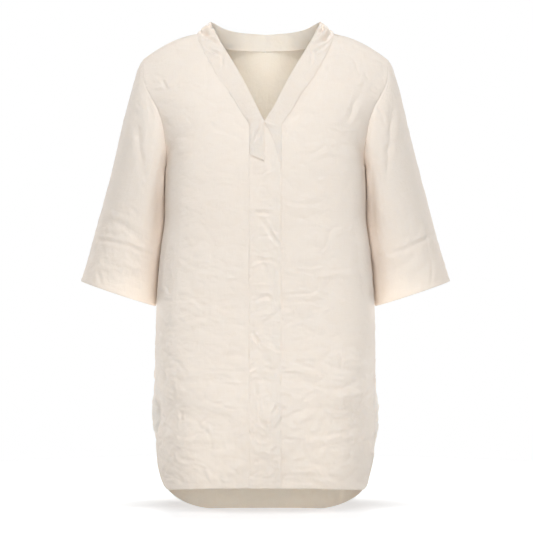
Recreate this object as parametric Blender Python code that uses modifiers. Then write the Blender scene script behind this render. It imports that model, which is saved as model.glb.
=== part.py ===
"""A linen kaftan blouse in its worn, hollow shape: V neck with a stand-up band, concealed full-length placket,
set-in half sleeves, side slits and a shirt-tail hem that is longer at the back.

The front faces -Y, the wearer's left side is +X, and the origin lies midway between the two shoulder-neck
points, where the wearer holds it. Tables are in millimetres and degrees; the model is in metres.
"""

import math
from collections import namedtuple

import bmesh
import bpy
import numpy as np
from mathutils import Vector

MM = 0.001

# Cloth
CLOTH = 1.2  # the wall that stands for one seamed and pressed layer of linen
SEAM_GAP = 0.3
BEND_GAP = 0.9  # where the band leans in from the back, so that the inner sides of the walls stay apart

BODY_MIDDLE = (0, 0, -400)

# Lengths that set the outline
HALF_PLACKET = 25.5
PLACKET_DROP = 2  # how far the placket starts below the point of the V
PLACKET_PEAK = 6.5  # how much higher it starts in the middle
PLACKET_PEAK_SLOPE = 0.35
PLACKET_LIFT = CLOTH + SEAM_GAP  # how far its free side stands proud of the front under it
UNDERLAP = 15.5  # how far the left front runs on under the placket
FRONT_HEM = -743
BACK_HEM = -802
SLIT_TOP = -590

# Sections of the front and back panels, from the shoulder seam down to the hem, for the side where x is positive.
# in: the edge at the neck, placket or centre back. out: the edge at the armhole or side. depth: away from the
# wearer's side plane. lean and turn: how far the section has turned to the side at its in and out edge.
# full: how boxy it is. ease: 0 where it runs down evenly, 1 where it leaves its in edge level.
# steps: rows of faces to the next section.
Section = namedtuple("Section", "in_x in_depth in_z out_x out_depth out_z lean turn full ease steps")

FRONT = [
    Section(114.5, 0, 0, 204, 0, -43, 0, 0, 0.34, 0.65, 1),
    Section(114, 8, -1.5, 204, 10, -45.5, -6, 4, 0.34, 0.62, 1),
    Section(111, 20, -11, 203.5, 22, -60, -11, 10, 0.34, 0.5, 1),
    Section(103.5, 35, -29, 200.5, 36, -82, -13, 18, 0.35, 0.3, 1),
    Section(90, 60, -56, 189, 50, -107, -12, 28, 0.36, 0.35, 1),
    Section(75, 77, -82, 178, 58, -128, -8, 40, 0.36, 0.4, 1),
    Section(58, 91, -106, 170, 62, -150, -4, 50, 0.37, 0.5, 1),
    Section(43, 101, -133, 165, 60, -176, -3, 60, 0.39, 0.7, 1),
    Section(25.8, 110, -161, 162.5, 50, -200, -2, 70, 0.42, 1, 1),
    Section(25.8, 119.5, -190, 163, 26, -223, 0, 84, 0.46, 1, 1),
    Section(25.8, 128.5, -236, 164.5, 2, -234, 1, 96, 0.5, 1, 2),
    Section(25.8, 132.5, -300, 163.7, 3, -300, 1, 98, 0.5, 1, 2),
    Section(25.8, 132.5, -360, 171, 4, -360, 1, 98, 0.5, 1, 3),
    Section(25.8, 131.5, -443, 178.5, 9, -443, 1, 96, 0.5, 1, 3),
    Section(25.8, 130, -526, 182, 17, -526, 1, 88, 0.5, 1, 2),
    Section(25.8, 129, SLIT_TOP, 181.5, 26, SLIT_TOP, 1, 80, 0.48, 1, 3),
    Section(25.8, 128, -660, 178.5, 32, -660, 1, 74, 0.46, 1, 4),
    Section(25.8, 126.5, FRONT_HEM, 178, 36, FRONT_HEM, 1, 72, 0.46, 1, 0),
]

BACK = [
    Section(114.5, 0, 0, 204, 0, -43, 0, 0, 0.34, 0.65, 1),
    Section(114, 8, -1.5, 204, 10, -45.5, -6, 4, 0.34, 0.62, 1),
    Section(110.5, 22, -5.5, 203.5, 22, -60, -12, 10, 0.34, 0.5, 1),
    Section(103, 37, -10, 200.5, 37, -80, -12, 18, 0.35, 0.35, 1),
    Section(86, 56, -14, 193, 51, -103, -10, 30, 0.36, 0.5, 1),
    Section(50, 74, -18.5, 184, 59, -129, -8, 42, 0.37, 0.8, 1),
    Section(0, 80, -20, 177, 62, -154, 0, 52, 0.4, 1, 1),
    Section(0, 93, -66, 171, 60, -180, 0, 60, 0.42, 1, 1),
    Section(0, 104, -125, 167, 46, -208, 0, 72, 0.46, 1, 1),
    Section(0, 109, -185, 165.5, 20, -228, 0, 80, 0.49, 1, 1),
    Section(0, 111, -236, 164.5, -2, -234, 0, 84, 0.5, 1, 2),
    Section(0, 111, -300, 163.7, -3, -300, 0, 82, 0.5, 1, 2),
    Section(0, 108, -360, 171, -4, -360, 0, 82, 0.5, 1, 3),
    Section(0, 106, -443, 178.5, -9, -443, 0, 84, 0.5, 1, 3),
    Section(0, 107, -526, 182, -17, -526, 0, 92, 0.5, 1, 2),
    Section(0, 109, SLIT_TOP, 181.5, -26, SLIT_TOP, 0, 100, 0.5, 1, 3),
    Section(0, 111, -680, 188, -14, -680, 0, 95, 0.49, 1, 5),
    Section(0, 112, BACK_HEM, 189, -4, BACK_HEM, 0, 92, 0.48, 1, 0),
]

# How the hem departs from level along a section: it dips to dip, then rises round the corner to rise.
Hem = namedtuple("Hem", "dip start rise power fade")
FRONT_CORNER = Hem(dip=-6, start=0.68, rise=54, power=2.2, fade=190)
BACK_CORNER = Hem(dip=0, start=0.3, rise=112, power=1.7, fade=230)

UNDERARM = 10  # the rows where the armhole ends and where the side seam ends
SLIT = 15
V_POINT = 8  # the front row where the neck seam meets the placket
CENTRE_BACK = 6  # the back row where the neck seam crosses the centre

# The free edge of the neck band, a row for each row of the panels. lift: how far it stands proud of the seam on
# the wearer's right, where it ends on top of the other side.
Edge = namedtuple("Edge", "x depth z lift")
BAND_FRONT = [
    Edge(92, -6, 20.5, 0.4),
    Edge(91.5, 0, 19, 0.4),
    Edge(87, 10, 10, 0.4),
    Edge(76, 28, -12, 0.4),
    Edge(62, 52, -37, 0.4),
    Edge(47, 72, -63, 0.5),
    Edge(31, 89, -93, 0.7),
    Edge(16, 102, -124, 1.4),
    Edge(1.6, 112.5, -154, 2.2),
]
BAND_BACK = [
    Edge(92, 6, 20.5, 0.4),
    Edge(91, 15, 22, 0.4),
    Edge(87.5, 27, 21.5, 0.4),
    Edge(80, 38, 18.5, 0.4),
    Edge(67, 48, 13.5, 0.4),
    Edge(41, 60, 9.5, 0.4),
    Edge(0, 65, 7.5, 0.4),
]
BAND_LIFT = 0.4
CROSSING = 3.6  # how far the band's left end passes behind its right end at the V

# The band's right end runs on below the V as a loose tab on the placket, row by row from its tip.
Tab = namedtuple("Tab", "seam_z edge_z")
TAB = [Tab(-205, -213), Tab(-192, -196), Tab(-176, -175)]
TAB_LIFT = 2

# The sleeve: four lines from the armhole to the sleeve hem, and the ring at the hem.
# leave: direction and reach at the armhole. arrive: outward tilt from the vertical and reach at the hem.
Line = namedtuple("Line", "leave_x leave_depth leave_z leave_reach arrive_tilt arrive_reach")
SLEEVE_LINES = [
    Line(0.04, -0.25, -1, 70, 7, 75),
    Line(0.42, 0.36, -0.83, 60, 11, 100),
    Line(0.71, 0, -0.71, 27, 17.5, 200),
    Line(0.42, -0.36, -0.83, 60, 11, 100),
    Line(0.04, -0.25, -1, 70, 7, 75),
]
CUFF_CENTRE = (246, 18, -432)
CUFF_HALF_WIDTH = 66
CUFF_HALF_DEPTH = 63
CUFF_TILT = 18.5
SLEEVE_GAP = 0.6  # from the armhole edge to the sleeve, outwards and again along the sleeve
SLEEVE_CLEARANCE = 1.7  # between the sleeve's underside and the side of the body
CLEAR_BELOW = -222  # the height under which the sleeve runs beside the body
SLEEVE_ROWS = 15
SLEEVE_GIRTH = 400
SLEEVE_HEIGHT = 330

# The largest folds, as troughs in a sheet. u and v: the middle, as parts of the sheet's girth and height.
# slope: degrees from level. length, width and depth in millimetres, where a ridge has a negative depth.
Fold = namedtuple("Fold", "u v slope length width depth")
SLEEVE_FOLDS = [
    Fold(0.33, 0.44, -14, 95, 17, 3.2),
    Fold(0.36, 0.36, 12, 60, 14, 2.0),
    Fold(0.36, 0.86, 84, 130, 18, 3.0),
    Fold(0.68, 0.42, 10, 80, 18, 2.4),
    Fold(0.64, 0.80, -82, 110, 18, 2.4),
]
FRONT_FOLDS = [
    Fold(0.80, 0.48, 84, 190, 22, 2.6),
    Fold(0.45, 0.30, 8, 120, 24, 1.6),
    Fold(0.66, 0.16, -72, 110, 20, 1.8),
]
BACK_FOLDS = [
    Fold(0.72, 0.50, 86, 220, 26, 3.0),
    Fold(0.30, 0.66, -84, 200, 30, 2.4),
    Fold(0.50, 0.28, 6, 140, 26, 1.8),
]


def monotone(keys, values, at, corners=()):
    """Values of a table at the given keys, smooth and without overshoot between its rows (monotone cubic).

    At a row in corners the slope is the one between that row and the row paired with it.
    """
    keys = np.asarray(keys, float)
    values = np.asarray(values, float)
    width = np.diff(keys)[:, None]
    rise = np.diff(values, axis=0) / width
    slope = np.vstack([rise[:1], np.zeros_like(rise[1:]), rise[-1:]])
    before, after = rise[:-1], rise[1:]
    same_way = before * after > 0
    near, far = 2 * width[1:] + width[:-1], width[1:] + 2 * width[:-1]
    with np.errstate(divide="ignore", invalid="ignore"):
        mean = (near + far) / (near / before + far / after)
    slope[1:-1] = np.where(same_way, mean, 0)
    for corner, span in corners:
        slope[corner] = rise[span]
    row = np.clip(np.searchsorted(keys, at, side="right") - 1, 0, len(keys) - 2)
    h = width[row]
    s = ((np.asarray(at, float) - keys[row])[:, None]) / h
    return (
        values[row] * (1 + 2 * s) * (1 - s) ** 2
        + slope[row] * h * s * (1 - s) ** 2
        + values[row + 1] * s * s * (3 - 2 * s)
        + slope[row + 1] * h * s * s * (s - 1)
    )


def stepped(table, grade):
    """Mesh rows of a table: each row's place on the grade, with its steps to the next one between."""
    places = []
    for row, here, there in zip(table[:-1], grade[:-1], grade[1:]):
        places += list(np.linspace(here, there, row.steps, endpoint=False))
    return np.array(places + [grade[-1]])


def bezier(start, start_way, end_way, end, t):
    t = t[:, None]
    return start * (1 - t) ** 3 + 3 * start_way * t * (1 - t) ** 2 + 3 * end_way * t * t * (1 - t) + end * t**3


# Front and back take the same slope at both ends of the side seam, so their edges run together along it.
SIDE_SEAM_ENDS = ((UNDERARM, UNDERARM), (SLIT, SLIT - 1))


def drops(table):
    """Mean drop of each section below the origin, which grades the table from top to hem."""
    return np.array([-(s.in_z + s.out_z) / 2 for s in table])


def section_points(table, hem, drop, t, underlap=0.0):
    """Points (x, depth, z) in millimetres of a half panel: drop picks the section, t runs from in edge to out."""
    columns = Section(*monotone(drops(table), table, drop, SIDE_SEAM_ENDS).T)
    passed_neck = np.clip((drop - drops(table)[V_POINT]) / 20, 0, 1)
    in_x = columns.in_x - underlap * passed_neck
    start = np.column_stack([in_x, columns.in_depth])
    end = np.column_stack([columns.out_x, columns.out_depth])
    reach = columns.full * np.linalg.norm(end - start, axis=1)
    lean, turn = np.radians(columns.lean), np.radians(columns.turn)
    start_way = start + reach[:, None] * np.column_stack([np.cos(lean), -np.sin(lean)])
    end_way = end - reach[:, None] * np.column_stack([np.cos(turn), -np.sin(turn)])
    trimmed = t * (1 - SEAM_GAP / 2 / (3 * reach))
    flat = bezier(start, start_way, end_way, end, trimmed)
    along = (1 - columns.ease) * t + columns.ease * t * t
    corner = np.clip((t - hem.start) / (1 - hem.start), 0, 1) ** hem.power
    dip = hem.dip * np.clip(t / hem.start, 0, 1) ** 2
    near_hem = np.clip(1 - (drops(table)[-1] - drop) / hem.fade, 0, 1)
    z = columns.in_z + (columns.out_z - columns.in_z) * along + near_hem * (dip + (hem.rise - hem.dip) * corner)
    return np.column_stack([flat, z])


def body_half_width(y, z):
    """Half the body's width at each depth and height below the underarm."""
    t = np.linspace(0, 1, 41)
    widths = []
    for depth, height in zip(y, z):
        table, hem = (FRONT, FRONT_CORNER) if depth < 0 else (BACK, BACK_CORNER)
        drop = np.full_like(t, max(-height, -FRONT[UNDERARM].out_z))
        section = section_points(table, hem, drop, t)[::-1]
        widths.append(np.interp(abs(depth), section[:, 1], section[:, 0]))
    return np.array(widths)


def side_spread(u):
    """Columns lie closer together towards the side, where the cloth turns."""
    return u * (1.35 - 0.35 * u)


def clear_scene():
    for obj in list(bpy.data.objects):
        bpy.data.objects.remove(obj, do_unlink=True)


def linen(name, colour):
    material = bpy.data.materials.new(name)
    material.use_nodes = True
    shader = material.node_tree.nodes["Principled BSDF"]
    shader.inputs["Base Color"].default_value = (*colour, 1)
    shader.inputs["Roughness"].default_value = 0.9
    shader.inputs["Metallic"].default_value = 0
    return material


def sheet(name, segments, place, middle, colour, mirrored=False, closed=False):
    """A cloth wall: a grid whose points place() lays out from (u, v) in 0..1, thickened towards the middle.

    A closed sheet's first and last columns meet in a seam.
    """
    bm = bmesh.new()
    bmesh.ops.create_grid(bm, x_segments=segments[0], y_segments=segments[1], size=0.5)
    uv = np.array([vertex.co[:2] for vertex in bm.verts]) + 0.5
    for vertex, point in zip(bm.verts, place(uv[:, 0], uv[:, 1]) * MM):
        vertex.co = point
    if closed:
        bmesh.ops.remove_doubles(bm, verts=bm.verts, dist=0.01 * MM)
    bm.normal_update()
    inside = Vector(middle) * MM
    if sum(face.normal.dot(face.calc_center_median() - inside) for face in bm.faces) < 0:
        bmesh.ops.reverse_faces(bm, faces=bm.faces)
    mesh = bpy.data.meshes.new(name)
    bm.to_mesh(mesh)
    bm.free()
    mesh.materials.append(linen(name + "_linen", colour))
    mesh.shade_smooth()
    obj = bpy.data.objects.new(name, mesh)
    COLLECTION.objects.link(obj)
    if mirrored:
        mirror = obj.modifiers.new("Other half", "MIRROR")
        mirror.merge_threshold = 0.01 * MM
    wall = obj.modifiers.new("Wall", "SOLIDIFY")
    wall.thickness = CLOTH * MM
    wall.offset = -1
    wall.use_even_offset = True
    return obj


def fold_depth(folds, u, v, girth, height):
    """How far a set of folds pushes the sheet in at (u, v)."""
    depth = np.zeros_like(u)
    for fold in folds:
        slope = math.radians(fold.slope)
        across, up = (u - fold.u) * girth, (v - fold.v) * height
        along = across * math.cos(slope) + up * math.sin(slope)
        aside = up * math.cos(slope) - across * math.sin(slope)
        depth += fold.depth * np.exp(-((2 * along / fold.length) ** 4) - (1.5 * aside / fold.width) ** 2)
    return depth


def push_in(points, middle, depth):
    """Points moved level towards a middle line by their fold depth."""
    inward = middle - points
    inward[:, 2] = 0
    inward[np.abs(points[:, 0]) < 0.01, 0] = 0
    return points + inward / np.linalg.norm(inward, axis=1)[:, None] * depth[:, None]


LINEN = (0.86, 0.78, 0.70)
BACK_LINEN = (0.84, 0.76, 0.67)
BAND_LINEN = (0.88, 0.81, 0.73)
PANEL_COLUMNS = 10
PANEL_GIRTH = 240
PANEL_HEIGHT = 780
SHOULDER_SHIFT = 0.066  # on the grade, half a seam gap of depth


def panel_rows(table):
    places = stepped(table, drops(table))
    places[0] += SHOULDER_SHIFT
    return places


def on_rows(rows, v):
    """The place on the grade of each vertex, whose v counts the rows of the grid from the bottom."""
    return rows[np.rint((1 - v) * (len(rows) - 1)).astype(int)]


def make_front(name, side):
    """side is -1 for the wearer's right front and 1 for the left one, which runs on under the placket."""
    rows = panel_rows(FRONT)
    underlap = UNDERLAP if side > 0 else 0

    def place(u, v):
        x, depth, z = section_points(FRONT, FRONT_CORNER, on_rows(rows, v), side_spread(u), underlap).T
        points = np.column_stack([side * x, -depth, z])
        depth = fold_depth(FRONT_FOLDS, u, v, PANEL_GIRTH, PANEL_HEIGHT) * np.sin(math.pi * u)
        return push_in(points, np.zeros(3), depth)

    return sheet(name, (PANEL_COLUMNS, len(rows) - 1), place, BODY_MIDDLE, LINEN)


def make_back():
    rows = panel_rows(BACK)

    def place(u, v):
        points = section_points(BACK, BACK_CORNER, on_rows(rows, v), side_spread(u))
        depth = fold_depth(BACK_FOLDS, u, v, PANEL_GIRTH, PANEL_HEIGHT) * np.sin(math.pi * u)
        return push_in(points, np.zeros(3), depth)

    return sheet("back", (PANEL_COLUMNS, len(rows) - 1), place, BODY_MIDDLE, BACK_LINEN, mirrored=True)


def placket_surface(drop):
    """Depth and z of the front panels' placket edges."""
    columns = Section(*monotone(drops(FRONT), FRONT, drop, SIDE_SEAM_ENDS).T)
    return columns.in_depth, columns.in_z


def make_placket():
    """A strip joined to the right front and lying on the left one, from the V to the hem."""
    rows = panel_rows(FRONT)[V_POINT:]
    rows[0] += PLACKET_DROP

    def place(u, v):
        drop = on_rows(rows, v)
        depth, z = placket_surface(drop)
        x = HALF_PLACKET * (2 * u - 1)
        lies_over = PLACKET_LIFT * np.clip((u - 0.5) / 0.16, 0, 1)
        peak = PLACKET_PEAK * (1 - np.abs(2 * u - 1)) * np.clip(1 - (drop - rows[0]) / 20, 0, 1)
        return np.column_stack([x, PLACKET_PEAK_SLOPE * peak - depth - lies_over, z + peak])

    return sheet("placket", (6, len(rows) - 1), place, BODY_MIDDLE, LINEN)


def band_half(side, lifts):
    """Seam, free edge and lift of the band's rows from the V to the centre back."""
    rows = list(zip(FRONT[V_POINT::-1], BAND_FRONT[::-1])) + list(zip(BACK[1:], BAND_BACK[1:]))
    facing = [-1] * len(BAND_FRONT) + [1] * (len(BAND_BACK) - 1)
    seam = np.array([(side * row.in_x, way * row.in_depth, row.in_z) for (row, free), way in zip(rows, facing)])
    edge = np.array([(side * free.x, way * free.depth, free.z) for (row, free), way in zip(rows, facing)])
    return seam, edge, np.array([lifts(free) for row, free in rows])


def tab_rows():
    """The tab's rows, laid out from the surface of the placket."""
    depths, heights = placket_surface(panel_rows(FRONT)[V_POINT:])
    seam, edge = [], []
    for row in TAB:
        for z, x, line in ((row.seam_z, -HALF_PLACKET, seam), (row.edge_z, -BAND_FRONT[-1].x, edge)):
            depth = np.interp(-z, -heights, depths)
            line.append((x, -depth - TAB_LIFT, z))
    return np.array(seam), np.array(edge)


def make_neckband():
    """One strip: the tab, the right side up to the shoulder, the back of the neck, and down the left side."""
    right_seam, right_edge, right_lift = band_half(-1, lambda free: free.lift)
    left_seam, left_edge, left_lift = band_half(1, lambda free: BAND_LIFT)
    left_edge[0, 0] -= CROSSING
    seam = np.vstack([right_seam, left_seam[-2::-1]])
    edge = np.vstack([right_edge, left_edge[-2::-1]])
    lift = np.concatenate([right_lift, left_lift[-2::-1]])[:, None]
    across = edge - seam
    across /= np.linalg.norm(across, axis=1)[:, None]
    outward = np.cross(np.gradient(seam, axis=0), across)
    outward /= -np.linalg.norm(outward, axis=1)[:, None]
    tab_seam, tab_edge = tab_rows()
    gap = np.where(seam[:, 1:2] > 1, BEND_GAP, SEAM_GAP)
    seam = np.vstack([tab_seam, seam + across * gap + outward * lift])
    edge = np.vstack([tab_edge, edge + outward * lift])

    def place(u, v):
        row = np.rint(v * (len(seam) - 1)).astype(int)
        return seam[row] * (1 - u[:, None]) + edge[row] * u[:, None]

    return sheet("neckband", (3, len(seam) - 1), place, BODY_MIDDLE, BAND_LINEN)


def make_sleeve(name, side):
    """side is -1 for the wearer's right. Rings run from the underarm seam round the front, top and back."""
    ring = [(row.out_x, -row.out_depth, row.out_z) for row in FRONT[UNDERARM::-1]]
    top = len(ring) - 1
    ring += [(row.out_x, row.out_depth, row.out_z) for row in BACK[1 : UNDERARM + 1]]
    armhole = np.array(ring, float)
    length = np.concatenate([[0], np.cumsum(np.linalg.norm(np.diff(armhole, axis=0), axis=1))])
    girth = np.where(
        np.arange(len(ring)) <= top,
        0.5 * length / length[top],
        0.5 + 0.5 * (length - length[top]) / (length[-1] - length[top]),
    )
    quarter = np.linspace(0, 1, len(SLEEVE_LINES))
    line = Line(*monotone(quarter, SLEEVE_LINES, girth).T)
    leave = np.column_stack([line.leave_x, -line.leave_depth, line.leave_z])
    leave /= np.linalg.norm(leave, axis=1)[:, None]
    tilt = np.radians(line.arrive_tilt)
    arrive = np.column_stack([np.sin(tilt), np.zeros_like(tilt), -np.cos(tilt)])
    turn = 2 * math.pi * girth
    cuff_tilt = math.radians(CUFF_TILT)
    across = np.array([math.cos(cuff_tilt), 0, math.sin(cuff_tilt)])
    cuff = (
        np.array(CUFF_CENTRE)
        - np.cos(turn)[:, None] * CUFF_HALF_WIDTH * across
        - np.sin(turn)[:, None] * CUFF_HALF_DEPTH * np.array([0, 1, 0])
    )
    start = armhole + (leave + np.array([1, 0, 0])) * SLEEVE_GAP
    start_way = start + leave * line.leave_reach[:, None]
    end_way = cuff - arrive * line.arrive_reach[:, None]

    def place(u, v):
        around = np.rint(u * (len(ring) - 1)).astype(int)
        points = bezier(start[around], start_way[around], end_way[around], cuff[around], 1 - v)
        below = np.clip((FRONT[UNDERARM].out_z - points[:, 2]) / 60, 0, 1)
        clear_x = body_half_width(points[:, 1], points[:, 2]) + SLEEVE_CLEARANCE * (0.4 + 0.6 * below)
        beside = points[:, 2] < CLEAR_BELOW
        points[beside, 0] = np.maximum(points, clear_x[:, None])[beside, 0]
        middle = armhole.mean(axis=0) * v[:, None] + np.array(CUFF_CENTRE) * (1 - v)[:, None]
        seam_free = np.sqrt(1 - v)
        depth = fold_depth(SLEEVE_FOLDS, girth[around], v, SLEEVE_GIRTH, SLEEVE_HEIGHT) * seam_free
        points = push_in(points, middle, depth)
        points[:, 0] *= side
        return points

    middle = (side * 230, 0, -300)
    return sheet(name, (len(ring) - 1, SLEEVE_ROWS), place, middle, LINEN, closed=True)


COLLECTION = bpy.data.collections.new("kaftan")
clear_scene()
bpy.context.scene.collection.children.link(COLLECTION)
make_front("front_right", -1)
make_front("front_left", 1)
make_back()
make_placket()
make_neckband()
make_sleeve("sleeve_right", -1)
make_sleeve("sleeve_left", 1)
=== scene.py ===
"""A linen kaftan blouse, dressed: creased undyed linen with its seams, hems and stitches, worn by nobody.

Every sheet of cloth follows the form of its solid. The form tables are in millimetres and degrees, with the
front facing -Y and depth counted away from the plane of the shoulders, and the meshes are in metres.
"""

import math
from collections import namedtuple

import bmesh
import bpy
import numpy as np
from mathutils import Matrix, Vector


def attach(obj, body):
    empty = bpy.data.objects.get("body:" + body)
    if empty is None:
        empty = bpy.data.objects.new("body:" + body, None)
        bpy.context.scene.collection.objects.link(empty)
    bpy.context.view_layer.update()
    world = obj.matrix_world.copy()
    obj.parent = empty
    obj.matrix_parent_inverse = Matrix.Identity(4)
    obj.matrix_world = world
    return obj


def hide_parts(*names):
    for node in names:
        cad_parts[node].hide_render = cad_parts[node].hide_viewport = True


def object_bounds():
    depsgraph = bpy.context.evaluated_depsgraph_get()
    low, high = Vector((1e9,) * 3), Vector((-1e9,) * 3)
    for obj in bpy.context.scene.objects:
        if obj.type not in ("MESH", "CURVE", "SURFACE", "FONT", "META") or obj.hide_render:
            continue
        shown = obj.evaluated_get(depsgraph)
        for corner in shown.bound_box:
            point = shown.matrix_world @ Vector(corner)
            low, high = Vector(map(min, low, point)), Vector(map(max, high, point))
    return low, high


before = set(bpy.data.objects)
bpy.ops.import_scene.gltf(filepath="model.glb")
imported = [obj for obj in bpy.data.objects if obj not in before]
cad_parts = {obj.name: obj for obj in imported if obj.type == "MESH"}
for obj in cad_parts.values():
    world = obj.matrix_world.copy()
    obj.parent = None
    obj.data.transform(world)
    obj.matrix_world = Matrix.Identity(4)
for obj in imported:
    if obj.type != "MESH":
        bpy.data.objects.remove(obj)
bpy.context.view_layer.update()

MM = 0.001
FRONT_SIDE, BACK_SIDE = -1, 1

# ---------------------------------------------------------------- form

HALF_PLACKET = 25.5
PLACKET_DROP = 0.5
PLACKET_PEAK = 6.5
PLACKET_PEAK_SLOPE = 0.35
PLACKET_LIFT = 1.3
UNDERLAP = 15.5
FRONT_HEM = -743
BACK_HEM = -802
SLIT_TOP = -590
V_RUN = 20


def named(kind, rows):
    """Rows of plain numbers as rows with named columns."""
    return [kind(*row) for row in rows]


Section = namedtuple("Section", "in_x in_depth in_z out_x out_depth out_z lean turn full ease")
FRONT = named(Section, [
    (114.5, 0, 0, 204, 0, -43, 0, 0, 0.34, 0.65),
    (114, 8, -1.5, 204, 10, -45.5, -6, 4, 0.34, 0.62),
    (111, 20, -11, 203.5, 22, -60, -11, 10, 0.34, 0.5),
    (103.5, 35, -29, 200.5, 36, -82, -13, 18, 0.35, 0.3),
    (90, 60, -56, 189, 50, -107, -12, 28, 0.36, 0.35),
    (75, 77, -82, 178, 58, -128, -8, 40, 0.36, 0.4),
    (58, 91, -106, 170, 62, -150, -4, 50, 0.37, 0.5),
    (43, 101, -133, 165, 60, -176, -3, 60, 0.39, 0.7),
    (25.8, 110, -161, 162.5, 50, -200, -2, 71, 0.415, 1),
    (25.8, 119.5, -190, 163, 26, -223, 0, 90, 0.468, 1),
    (25.8, 128.5, -236, 164.5, 2, -234, 1, 96, 0.5, 1),
    (25.8, 132.5, -300, 163.7, 3, -300, 1, 98, 0.5, 1),
    (25.8, 132.5, -360, 171, 4, -360, 1, 98, 0.5, 1),
    (25.8, 131.5, -443, 178.5, 9, -443, 1, 96, 0.5, 1),
    (25.8, 130, -526, 182, 17, -526, 1, 88, 0.5, 1),
    (25.8, 129, SLIT_TOP, 181.5, 26, SLIT_TOP, 1, 80, 0.48, 1),
    (25.8, 128.5, -624, 177, 31, -624, 1, 75, 0.46, 1),
    (25.8, 128, -672, 179, 36, -672, 1, 73, 0.46, 1),
    (25.8, 126.5, FRONT_HEM, 177, 42, FRONT_HEM, 1, 70, 0.46, 1),
])
BACK = named(Section, [
    (114.5, 0, 0, 204, 0, -43, 0, 0, 0.34, 0.65),
    (114, 8, -1.5, 204, 10, -45.5, -6, 4, 0.34, 0.62),
    (110.5, 22, -5.5, 203.5, 22, -60, -12, 10, 0.34, 0.5),
    (103, 37, -10, 200.5, 37, -80, -12, 18, 0.35, 0.35),
    (86, 56, -14, 193, 51, -103, -10, 30, 0.36, 0.5),
    (50, 76, -18.5, 184, 59, -129, -8, 42, 0.37, 0.8),
    (0, 85, -20, 177, 62, -154, 0, 52, 0.4, 1),
    (0, 95.5, -66, 171, 60, -180, 0, 60, 0.42, 1),
    (0, 104, -125, 167, 46, -208, 0, 72, 0.46, 1),
    (0, 109, -185, 165.5, 20, -228, 0, 80, 0.49, 1),
    (0, 111, -236, 164.5, -2, -234, 0, 84, 0.5, 1),
    (0, 111, -300, 163.7, -3, -300, 0, 82, 0.5, 1),
    (0, 108, -360, 171, -4, -360, 0, 82, 0.5, 1),
    (0, 106, -443, 178.5, -9, -443, 0, 84, 0.5, 1),
    (0, 107, -526, 182, -17, -526, 0, 92, 0.5, 1),
    (0, 109, SLIT_TOP, 181.5, -26, SLIT_TOP, 0, 100, 0.5, 1),
    (0, 110.5, -628, 172, -26, -628, 0, 124, 0.5, 1),
    (0, 111, -660, 172.5, -24, -660, 0, 123, 0.5, 1),
    (0, 111.5, -702, 175, -14, -702, 0, 111, 0.49, 1),
    (0, 112, BACK_HEM, 173, 2, BACK_HEM, 0, 92, 0.48, 1),
])
UNDERARM, SLIT, V_POINT, CENTRE_BACK = 10, 15, 8, 6
SIDE_SEAM_ENDS = ((UNDERARM, UNDERARM), (SLIT, SLIT - 1))

Hem = namedtuple("Hem", "dip start rise power fade")
FRONT_CORNER = Hem(dip=-7, start=0.8, rise=36, power=2.2, fade=120)
BACK_CORNER = Hem(dip=0, start=0.34, rise=70, power=1.6, fade=200)

Edge = namedtuple("Edge", "x depth z lift")
BAND_FRONT = named(Edge, [
    (92, -6, 20.5, 0.4),
    (91.5, 0, 19, 0.4),
    (87, 10, 10, 0.4),
    (76, 28, -12, 0.4),
    (62, 52, -37, 0.4),
    (47, 72, -63, 0.5),
    (31, 89, -93, 0.7),
    (16, 102, -124, 1.4),
    (1.6, 112.5, -154, 2.2),
])
BAND_BACK = named(Edge, [
    (92, 6, 20.5, 0.4),
    (91, 15, 22, 0.4),
    (87.5, 27, 21.5, 0.4),
    (80, 38, 18.5, 0.4),
    (67, 51, 13.5, 0.4),
    (41, 68, 9.5, 0.4),
    (0, 78.5, 7.5, 0.4),
])
BAND_LIFT = 0.25
CROSSING = 3.6
END_DROP = 4.3
Tab = namedtuple("Tab", "seam_z edge_z seam_lift edge_lift")
TAB = named(Tab, [(-207, -218, 0.5, 3.0), (-192, -199, 0.6, 2.4), (-176, -176, 0.7, 2.4)])
Tongue = namedtuple("Tongue", "seam_z edge_x edge_z lift")
TONGUE = named(Tongue, [
    (-161, -2, -154, 1.5),
    (-172, 1.5, -160, 1.7),
    (-192, 9, -176, 1.6),
    (-214, 17, -199, 1.3),
    (-230, 23, -226, 0.9),
])

Line = namedtuple("Line", "leave_x leave_depth leave_z leave_reach arrive_tilt arrive_reach")
SLEEVE_LINES = named(Line, [
    (0.04, -0.25, -1, 70, 7, 75),
    (0.42, 0.36, -0.83, 60, 11, 100),
    (0.71, 0, -0.71, 27, 17.5, 200),
    (0.42, -0.36, -0.83, 60, 11, 100),
    (0.04, -0.25, -1, 70, 7, 75),
])
CUFF_CENTRE = (246, 18, -432)
CUFF_HALF_WIDTH = 66
CUFF_HALF_DEPTH = 63
CUFF_TILT = 18.5
SLEEVE_GAP = -0.5
SLEEVE_CLEARANCE = 1.4
CLEAR_BELOW = -222
HOLLOW = 12


def drops(table):
    """Mean drop of each section below the origin, which grades the table from top to hem."""
    return np.array([-(s.in_z + s.out_z) / 2 for s in table])


NECK_DROP = drops(BACK)[CENTRE_BACK]


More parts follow.
